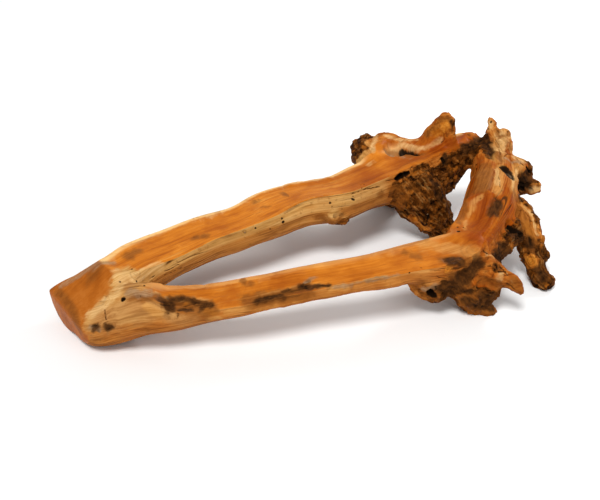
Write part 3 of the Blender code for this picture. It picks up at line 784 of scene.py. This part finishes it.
def grain_noise(fields, shares, scale, seed):
    """Noise drawn out along the grain. The scale is features per metre along and across it."""
    stretch = np.array((scale[0], scale[1], scale[1]))
    total = np.zeros(len(next(iter(fields.values()))))
    for run, field in fields.items():
        picked = shares[run] > 0.02
        total[picked] += shares[run][picked] * lattice_noise(field[picked] * stretch, seed)
    return total


def split_faces(points, picked, seed):
    """Flat faces at odd angles, as wood breaks: how far each picked point lies off the surface."""
    draw = np.random.default_rng(seed)
    relief = np.zeros(len(points))
    chosen = np.flatnonzero(picked)
    cells = np.floor(points[chosen] / CHIP_SPACING).astype(np.int64)
    unique = np.unique(cells, axis=0)
    centres = (unique + draw.uniform(0.0, 1.0, size=unique.shape)) * CHIP_SPACING
    lean = draw.normal(size=unique.shape) * CHIP_TILT
    tree = KDTree(len(centres))
    for number, centre in enumerate(centres):
        tree.insert(centre, number)
    tree.balance()
    for index in chosen:
        centre, number, _ = tree.find(points[index])
        offset = points[index] - centre
        relief[index] = offset @ lean[number]
    return relief


def pixel_ray(pixel):
    """The camera's place, and the direction in which it sees a pixel of the photograph."""
    back = np.array((
        math.sin(AZIMUTH) * math.cos(ELEVATION),
        -math.cos(AZIMUTH) * math.cos(ELEVATION),
        math.sin(ELEVATION),
    ))
    right = np.array((math.cos(AZIMUTH), math.sin(AZIMUTH), 0.0))
    up = np.cross(back, right)
    across = (pixel[0] - IMAGE_WIDTH / 2) / FOCAL
    upward = (IMAGE_HEIGHT / 2 - pixel[1]) / FOCAL
    return TARGET + back * DISTANCE, -back + right * across + up * upward


def seen_place(tree, pixel):
    """The place on the solid that a pixel shows, or None where it shows none of it."""
    start, way = pixel_ray(pixel)
    hit = tree.ray_cast(Vector(start), Vector(way).normalized())[0]
    return None if hit is None else np.array(hit) + ORIGIN


def solid_tree():
    """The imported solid's faces, for rays."""
    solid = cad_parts["forked_log"]
    corners = [solid.matrix_world @ vertex.co for vertex in solid.data.vertices]
    return BVHTree.FromPolygons(corners, [face.vertices for face in solid.data.polygons])


def reach_of(points, places, radius):
    """The points near a chain of places, and their distances from it in radii."""
    chain = list(zip(places, places[1:])) or [(places[0], places[0])]
    low = np.min(places, axis=0) - 2 * radius
    high = np.max(places, axis=0) + 2 * radius
    close = np.flatnonzero(
        (points[:, 0] > low[0]) & (points[:, 0] < high[0])
        & (points[:, 1] > low[1]) & (points[:, 1] < high[1])
        & (points[:, 2] > low[2]) & (points[:, 2] < high[2])
    )
    reach = np.full(len(close), 2.0)
    for start, end in chain:
        run = end - start
        squared = max(float(run @ run), 1e-12)
        t = np.clip((points[close] - start) @ run / squared, 0.0, 1.0)
        gap = np.linalg.norm(points[close] - start - t[:, None] * run, axis=1) / radius
        reach = np.minimum(reach, gap)
    return close, reach


def marks_on(points, ragged):
    """Each kind of mark's strength at every point, how far the form is pushed in, how deep the
    other marks go, and the knots' rings."""
    tree = solid_tree()
    loose = points
    for distance, scale, seed in MARK_DRIFTS:
        loose = drifted(loose, distance, scale, seed)
    nearly = blended(points, loose, SMALL_DRIFT)
    strength = {kind: np.zeros(len(points)) for kind in MARKS}
    formed = np.zeros(len(points))
    sunk = np.zeros(len(points))
    for kind, rows in MARKS.items():
        small = kind in SMALL_MARKS
        drawn_on = points if kind in EXACT_MARKS else nearly if small else loose
        for radius, depth, *pixels in rows:
            radius /= TENTHS
            places = [seen_place(tree, pixel) for pixel in zip(pixels[::2], pixels[1::2])]
            places = [place for place in places if place is not None]
            if not places:
                continue
            close, reach = reach_of(drawn_on, places, radius)
            edge = reach + EDGE_WOBBLE * ragged[close]
            faded = np.clip(1.35 - edge / 1.1, 0.0, 1.0)  # gone at 1.5 radii
            found = 1 - smoothstep(*SMALL_EDGE, edge) if small else faded
            if kind == "crack":
                found = found * np.clip(0.8 + 0.6 * ragged[close], 0.0, 1.0)
            strength[kind][close] = np.maximum(strength[kind][close], found)
            if kind == "form":
                formed[close] += depth / TENTHS * np.clip(1 - reach**2, 0.0, 1.0) ** 2
            else:
                bowl = depth / TENTHS * np.clip(1 - edge**2, 0.0, 1.0) ** 1.2
                sunk[close] = np.where(np.abs(bowl) > np.abs(sunk[close]), bowl, sunk[close])
    rings = np.zeros(len(points))
    for radius, count, clear, pixel in KNOTS:
        place = seen_place(tree, pixel)
        if place is not None:
            close, reach = reach_of(nearly, [place], radius)
            wave = 0.5 - 0.5 * np.cos(2 * math.pi * (reach * count + RING_WOBBLE * ragged[close]))
            faded = clear * (1 - smoothstep(0.85, 1.0, reach))
            rings[close] = np.maximum(rings[close], wave**3 * faded)
    return strength, formed, sunk, rings


def random_pits(points, crust):
    """Small holes scattered over the crusty wood: how deep each point lies in one."""
    draw = np.random.default_rng(11)
    likely = np.flatnonzero(crust > 0.5)
    sunk = np.zeros(len(points))
    for centre in draw.choice(likely, size=PIT_COUNT, replace=False):
        radius = draw.uniform(*PIT_RADIUS)
        close, reach = reach_of(points, [points[centre]], radius)
        pit = radius * 0.9 * np.clip(1 - reach**2, 0.0, 1.0) ** 1.5
        sunk[close] = np.maximum(sunk[close], pit)
    return sunk


def fine_relief(grown, grain, rough, natural, crust, dark):
    """How high each point stands, from tool marks on planed wood, ridges and splits on the sides
    and furrows, split faces and pits in the crust, and how much it lies in a split."""
    ridges = grain_noise(*grain, RIDGES, 6)
    fibres = grain_noise(*grain, FIBRES, 7)
    splits = 1 - smoothstep(0.0, 0.10, np.abs(grain_noise(*grain, SPLITS, 8)))
    splits *= smoothstep(0.0, 0.4, lattice_noise(grown * 12.0, 9))
    tool = grain_noise(*grain, TOOL_MARKS, 10)
    furrows = -np.abs(grain_noise(*grain, CRUST_FURROWS, 12)) * FURROW_DEPTH
    furrows += lattice_noise(grown * 70.0, 13) * 0.0008 + lattice_noise(grown * 210.0, 14) * 0.0004
    barky = np.maximum(crust, 0.8 * smoothstep(0.2, 0.8, dark))
    chips = split_faces(grown, np.maximum(barky, rough * natural) > 0.15, 15)
    gnarly = smoothstep(0.10, 0.60, rough) * natural
    relief = tool * TOOL_HEIGHT
    weathered = ridges * RIDGE_HEIGHT + fibres * FIBRE_HEIGHT - splits * SPLIT_DEPTH - SIDES_SUNK
    relief += natural * (1 - barky) * weathered
    relief += barky * (furrows + fibres * CRUST_FIBRE_HEIGHT + CRUST_RAISED)
    relief += np.maximum(0.6 * barky, 0.9 * gnarly) * (chips - CHIPS_SUNK)
    relief -= random_pits(grown, crust)
    return relief, splits


def store(mesh, name, values):
    """A value, or a vector, of each point, kept on the mesh for the material."""
    vector = values.ndim == 2
    layer = mesh.attributes.new(name, "FLOAT_VECTOR" if vector else "FLOAT", "POINT")
    layer.data.foreach_set("vector" if vector else "value", values.ravel())


def carved(mesh, routes):
    """The fused limbs with their form, fine relief and the values that the material reads."""
    grown = vertex_values(mesh, "co")
    normals = vertex_values(mesh, "normal")
    depth, limb_rough = depths(routes, grown)
    rough = smooth_roughness(depth, limb_rough)
    points, above, rim, hewn = planed(swell(grown, normals, rough), depth, routes)
    for place, mouth, deepest in HOLLOWS:
        points = hollow(points, normals, place, mouth, deepest)
    fields, shares = grain_fields(grown, routes, depth)
    ragged = lattice_noise(grown * 110.0, 3) + 0.6 * lattice_noise(grown * 240.0, 4)
    strength, formed, sunk, rings = marks_on(points, ragged)
    above = blended(above, SURELY_CUT, smoothstep(0.15, 0.65, strength["heart"]))
    natural = 1 - smoothstep(-0.0015, 0.0005, above)
    natural = np.maximum(natural, smoothstep(0.2, 0.8, strength["side"]))
    crust = smoothstep(0.42, 0.72, rough + 0.30 * lattice_noise(grown * 45.0, 5)) * natural
    crust = np.maximum(crust, smoothstep(0.10, 0.60, strength["bark"]))
    crust *= 1 - smoothstep(0.10, 0.70, strength["clean"])
    relief, splits = fine_relief(grown, (fields, shares), rough, natural, crust, strength["dark"])
    relief -= sunk + rings * RING_DEPTH
    points = points + normals * (relief - formed)[:, None]
    mesh.vertices.foreach_set("co", points.ravel())
    redder = shares["rear"] * smoothstep(-0.15, 0.32, grown[:, 0]) * (1 - 0.6 * natural)
    deep = 0.5 * shares["bridge"] + 0.36 * shares["front"] + 0.7 * redder
    kept = {
        **{"grain_" + run: field for run, field in fields.items()},
        **{"share_" + run: share for run, share in shares.items()},
        **{"mark_" + kind: strength[kind] for kind in PAINTED_MARKS},
        "golden": np.maximum(shares["bridge"], smoothstep(0.16, 0.27, grown[:, 0])),
        "deep": np.maximum(deep, strength["deep"]),
        "above": above * MILLIMETRES,
        "hewn": hewn * MILLIMETRES,
        "rim": rim,
        "crust": crust,
        "relief": relief * MILLIMETRES,
        "splits": splits * natural * (1 - crust),
        "rings": rings,
        # How far the grown surface faces up: the paint darkens the sides that face down by it, as
        # painted shade
        "facing": normals[:, 2].copy(),
    }
    for name, values in kept.items():
        store(mesh, name, values)
    mesh.update()
    return mesh


def log_surface():
    """The log's fine mesh, thinned out, moved to the frame and kept inside the solid's box."""
    routes = all_routes()
    mesh = carved(fused_limbs(routes), routes)
    mesh.transform(Matrix.Translation(Vector(-ORIGIN)))
    log = in_scene("log_surface", mesh)
    thin_out = log.modifiers.new("thin_out", "DECIMATE")
    thin_out.ratio = min(1.0, TRIANGLES / (2 * len(mesh.polygons)))
    thin_out.use_collapse_triangulate = True
    log.data = evaluated_mesh(log)
    log.modifiers.clear()
    inside = np.clip(vertex_values(log.data, "co"), cad_box[0], cad_box[1])
    log.data.vertices.foreach_set("co", inside.ravel())
    log.data.shade_smooth()
    return log


def colour(value):
    """A colour given by its three parts gets a fourth; a node's output stays."""
    if isinstance(value, bpy.types.NodeSocket):
        return value
    return (*value, 1.0)


class Graph:
    """Adds nodes to a material. An input is a number, a colour or another node's output."""

    def __init__(self, tree):
        self.tree = tree

    def feed(self, node, inputs):
        for name, value in inputs.items():
            if isinstance(value, bpy.types.NodeSocket):
                self.tree.links.new(value, node.inputs[name])
            else:
                node.inputs[name].default_value = value

    def add(self, kind, inputs=None, **settings):
        made = self.tree.nodes.new(kind)
        for name, value in settings.items():
            setattr(made, name, value)
        self.feed(made, inputs or {})
        return made

    def attribute(self, name, output="Fac"):
        return self.add("ShaderNodeAttribute", attribute_name=name).outputs[output]

    def maths(self, operation, first, second=0.0):
        return self.add("ShaderNodeMath", {0: first, 1: second}, operation=operation).outputs[0]

    def times(self, first, second):
        return self.maths("MULTIPLY", first, second)

    def plus(self, first, second):
        return self.maths("ADD", first, second)

    def weighted(self, first, *others):
        """The sum of values, each given with its weight."""
        total = self.times(*first)
        return self.plus(total, self.weighted(*others)) if others else total

    def centred(self, value, span):
        """A value of 0 to 1, moved to lie round 0 and spread over the span."""
        return self.times(self.maths("SUBTRACT", value, 0.5), span)

    def step(self, value, low, high, to_low=0.0, to_high=1.0):
        inputs = {"Value": value, "From Min": low, "From Max": high}
        inputs |= {"To Min": to_low, "To Max": to_high}
        made = self.add("ShaderNodeMapRange", inputs, interpolation_type="SMOOTHSTEP")
        return made.outputs["Result"]

    def frayed(self, value, uneven, span, low, high):
        """A step over the value, with its edge frayed by an uneven value over the span."""
        return self.step(self.plus(value, self.centred(uneven, span)), low, high)

    def ramp(self, value, stops):
        """A colour ramp. A stop is a place from 0 to 1 and a colour."""
        made = self.add("ShaderNodeValToRGB", {"Fac": value})
        elements = made.color_ramp.elements
        while len(elements) < len(stops):
            elements.new(0.5)
        for element, (place, shade) in zip(elements, stops):
            element.position = place
            element.color = colour(shade)
        return made.outputs["Color"]

    def mix(self, share, first, second):
        inputs = {"Factor": share, 6: colour(first), 7: colour(second)}
        return self.add("ShaderNodeMix", inputs, data_type="RGBA").outputs[2]

    def tinted(self, paint, read, tints):
        # The layers are stains, and in the side and depth layers also painted shade in the relief's
        # hollows
        for source, low, high, most, tint in tints:
            paint = self.mix(self.step(getattr(read, source), low, high, 0.0, most), paint, tint)
        return paint

    def vector_mix(self, share, first, second):
        inputs = {"Factor": share, 4: first, 5: second}
        return self.add("ShaderNodeMix", inputs, data_type="VECTOR").outputs[1]

    def noise(self, vector, scale, detail=3.0, roughness=0.55, distortion=0.0):
        inputs = {"Vector": vector, "Scale": scale, "Detail": detail, "Roughness": roughness,
                  "Distortion": distortion}
        return self.add("ShaderNodeTexNoise", inputs).outputs["Fac"]


def streaks(graph, run):
    """Fine lines, broad bands and slow flames along one run's grain, as one vector."""
    place = graph.attribute("grain_" + run, "Vector")
    parts = []
    for (along, across), detail in GRAIN_LINES:
        stretch = {"Vector": place, "Scale": (along, across, across)}
        drawn = graph.add("ShaderNodeMapping", stretch, vector_type="POINT").outputs["Vector"]
        parts.append(graph.noise(drawn, 1.0, detail, distortion=0.35))
    return graph.add("ShaderNodeCombineXYZ", dict(enumerate(parts))).outputs["Vector"]


def paint_values(graph):
    """What the paint reads: noise along the grain and in space, and the values on the mesh."""
    lines = streaks(graph, "rear")
    for run in ("front", "bridge", "root"):
        lines = graph.vector_mix(graph.attribute("share_" + run), lines, streaks(graph, run))
    parts = graph.add("ShaderNodeSeparateXYZ", {"Vector": lines}).outputs
    spot = graph.add("ShaderNodeTexCoord").outputs["Object"]
    read = SimpleNamespace(fine=parts[0], broad=parts[1], flame=parts[2])
    for name, settings in SPACE_NOISE.items():
        setattr(read, name, graph.noise(spot, *settings))
    for name in PAINT_VALUES:
        setattr(read, name, graph.attribute(name))
    read.side_tone = graph.weighted((read.broad, 0.55), (read.fine, 0.45))
    read.red = graph.frayed(read.deep, read.cloud, 0.8, 0.0, 0.9)
    read.cut = graph.frayed(read.hewn, read.mottle, 7.0, -5.0, 5.0)
    return read


def heart_paint(graph, read):
    """Planed heartwood, the pale rim along a facet's rear edge (pale sapwood with a painted
    highlight), and the hewn faces.
    """
    tone = graph.weighted((read.flame, 0.45), (read.broad, 0.35), (read.fine, 0.20))
    heart = graph.mix(read.red, graph.ramp(tone, HEARTWOOD), graph.ramp(tone, DEEP_HEART))
    heart = graph.tinted(heart, read, HEART_STAINS)
    # The rim is pale sapwood, with a painted highlight along the facet's rear edge
    rim = graph.times(read.rim, graph.step(read.broad, 0.3, 0.5, 0.6, 1.0))
    heart = graph.mix(rim, heart, SAPWOOD_AND_HIGHLIGHT)
    cut_tone = graph.weighted((read.cloud, 0.7), (read.fine, 0.3))
    return graph.mix(read.cut, heart, graph.ramp(cut_tone, HEWN))


def side_paint(graph, read):
    """Weathered sides: straw on top, golden towards the roots, and painted shade making them tan and
    brown below.
    """
    tone = read.side_tone
    # Painted shade: the more a side faces down, the darker it is painted, tan and then dark brown
    lit_by_facing = graph.plus(read.facing, graph.centred(read.flame, 1.2))
    side = graph.ramp(tone, STRAW)
    side = graph.mix(graph.step(lit_by_facing, 0.35, -0.15), side, graph.ramp(tone, TAN))
    gilt = graph.frayed(read.golden, read.flame, 0.9, 0.25, 0.80)
    side = graph.mix(gilt, side, graph.ramp(tone, GOLDEN))
    side = graph.mix(read.red, side, graph.ramp(tone, DEEP_HEART))
    side = graph.mix(graph.step(lit_by_facing, -0.45, -0.95), side, graph.ramp(tone, UNDERSIDE_SHADE))
    return graph.tinted(side, read, SIDE_STAINS_AND_SHADE)


def crust_paint(graph, read):
    """The dark, crumbled crust with orange patches, painted shade in its hollows, and pale fibres,
    partly painted highlights, on its crests.
    """
    # The relief in the tone is painted shade: the crust is darker in its hollows and lighter on its
    # crests
    tone = graph.weighted((read.mottle, 0.45), (read.broad, 0.25), (read.crumbs, 0.30),
                          (read.relief, 0.035))
    crust = graph.tinted(graph.ramp(tone, CRUST), read, CRUST_STAINS)
    # Pale fibres on the crests of the relief, partly a painted highlight
    crest = graph.times(graph.step(read.relief, -1.2, 0.6), graph.step(read.fine, 0.52, 0.62))
    return graph.mix(graph.times(crest, 0.28), crust, PALE_FIBRE_AND_HIGHLIGHT)


def marked(graph, read, paint, uneven):
    """The paint with the marks over it, some of them painted shade and painted highlights, and
    painted shade in the deepest hollows.
    """
    for kind, dim, bright, most, speckled in SOFT_TINTS:
        share = graph.attribute("mark_" + kind)
        lighter = graph.weighted((read.side_tone, 1.0 - speckled), (read.mottle, speckled))
        tint = graph.mix(graph.step(lighter, 0.42, 0.60), dim, bright)
        amount = graph.step(graph.plus(share, uneven), 0.20, 1.0, 0.0, most)
        paint = graph.mix(graph.times(amount, graph.step(share, 0.02, 0.30)), paint, tint)
    for kind, tint, most in CLEAN_TINTS:
        share = graph.attribute("mark_" + kind)
        paint = graph.mix(graph.step(share, 0.25, 0.80, 0.0, most), paint, tint)
    paint = graph.mix(graph.times(read.rings, 0.45), paint, CRACK_BROWN)
    # Painted shade last: the deepest hollows of the relief go nearly black
    return graph.tinted(paint, read, PAINTED_DEPTH_SHADE)


def wood():
    """Planed heartwood, weathered sides and crusty roots, with the marks on them."""
    material = bpy.data.materials.new("oiled_root_wood")
    material.use_nodes = True
    graph = Graph(material.node_tree)
    read = paint_values(graph)

    uneven = graph.plus(graph.centred(read.broad, 0.6), graph.centred(read.cloud, 0.5))
    uneven = graph.plus(graph.centred(read.mottle, 0.9), uneven)
    grown = graph.step(graph.plus(graph.attribute("mark_side"), uneven), 0.15, 0.95)
    planed_share = graph.frayed(read.above, read.mottle, 1.6, -0.5, 0.4)
    planed_share = graph.times(planed_share, graph.maths("SUBTRACT", 1.0, grown))
    paint = graph.mix(planed_share, side_paint(graph, read), heart_paint(graph, read))
    crusty = graph.frayed(read.crust, read.mottle, 0.8, 0.30, 0.70)
    paint = marked(graph, read, graph.mix(crusty, paint, crust_paint(graph, read)), uneven)

    rough = graph.plus(graph.times(read.crust, 0.10), graph.centred(read.broad, 0.25))
    rough = graph.plus(graph.step(planed_share, 0.0, 1.0, 0.56, 0.44), rough)
    shine = graph.times(planed_share, graph.step(read.cut, 0.0, 1.0, 1.0, 0.3))
    height = graph.weighted((read.fine, 0.6), (read.broad, 0.4))
    gritty = graph.times(read.grit, graph.step(read.crust, 0.0, 1.0, 0.15, 0.9))
    relief = {"Height": graph.plus(height, gritty), "Strength": 0.55, "Distance": 0.0012}
    graph.feed(material.node_tree.nodes["Principled BSDF"], {
        "Base Color": paint,
        "Roughness": rough,
        "Specular IOR Level": graph.step(shine, 0.0, 1.0, 0.03, 0.12),
        "Specular Tint": colour(SHINE_TINT),
        "Normal": graph.add("ShaderNodeBump", relief).outputs["Normal"],
    })
    return material


def floor_piece():
    bpy.ops.mesh.primitive_plane_add(size=FLOOR_SIZE)
    floor = bpy.context.object
    floor.name = "floor"
    paper = bpy.data.materials.new("pale_floor")
    paper.use_nodes = True
    shader = paper.node_tree.nodes["Principled BSDF"]
    shader.inputs["Base Color"].default_value = colour(FLOOR_COLOUR)
    shader.inputs["Roughness"].default_value = 0.9
    floor.data.materials.append(paper)
    return floor


def studio():
    """Soft light from all round, brightest from above in front, and a rim from behind."""
    world = bpy.data.worlds.new("studio")
    bpy.context.scene.world = world
    world.use_nodes = True
    world.node_tree.nodes["Background"].inputs["Color"].default_value = (1.0, 1.0, 1.0, 1.0)
    world.node_tree.nodes["Background"].inputs["Strength"].default_value = SKY_STRENGTH
    sun = bpy.data.lights.new("key", "SUN")
    sun.energy = SUN_STRENGTH
    sun.angle = SUN_ANGLE
    in_scene("key", sun).rotation_euler = Vector(SUN_PLACE).to_track_quat("Z", "Y").to_euler()
    for name, (place, towards, size, power) in LAMPS.items():
        light = bpy.data.lights.new(name, "AREA")
        light.shape = "DISK"
        light.size = size
        light.energy = power
        lamp = in_scene(name, light)
        lamp.location = place
        lamp.rotation_euler = (Vector(towards) - Vector(place)).to_track_quat("-Z", "Y").to_euler()


def camera():
    start, way = pixel_ray((IMAGE_WIDTH / 2, IMAGE_HEIGHT / 2))
    lens = bpy.data.cameras.new("camera")
    lens.lens = LENS
    lens.sensor_width = SENSOR
    viewer = in_scene("camera", lens)
    viewer.location = start
    viewer.rotation_euler = Vector(way).to_track_quat("-Z", "Y").to_euler()
    bpy.context.scene.camera = viewer


camera()
log = log_surface()
log.data.materials.clear()
log.data.materials.append(wood())
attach(log, "root")
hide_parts("forked_log")
floor_piece()
studio()
bpy.context.scene.view_settings.view_transform = "Standard"
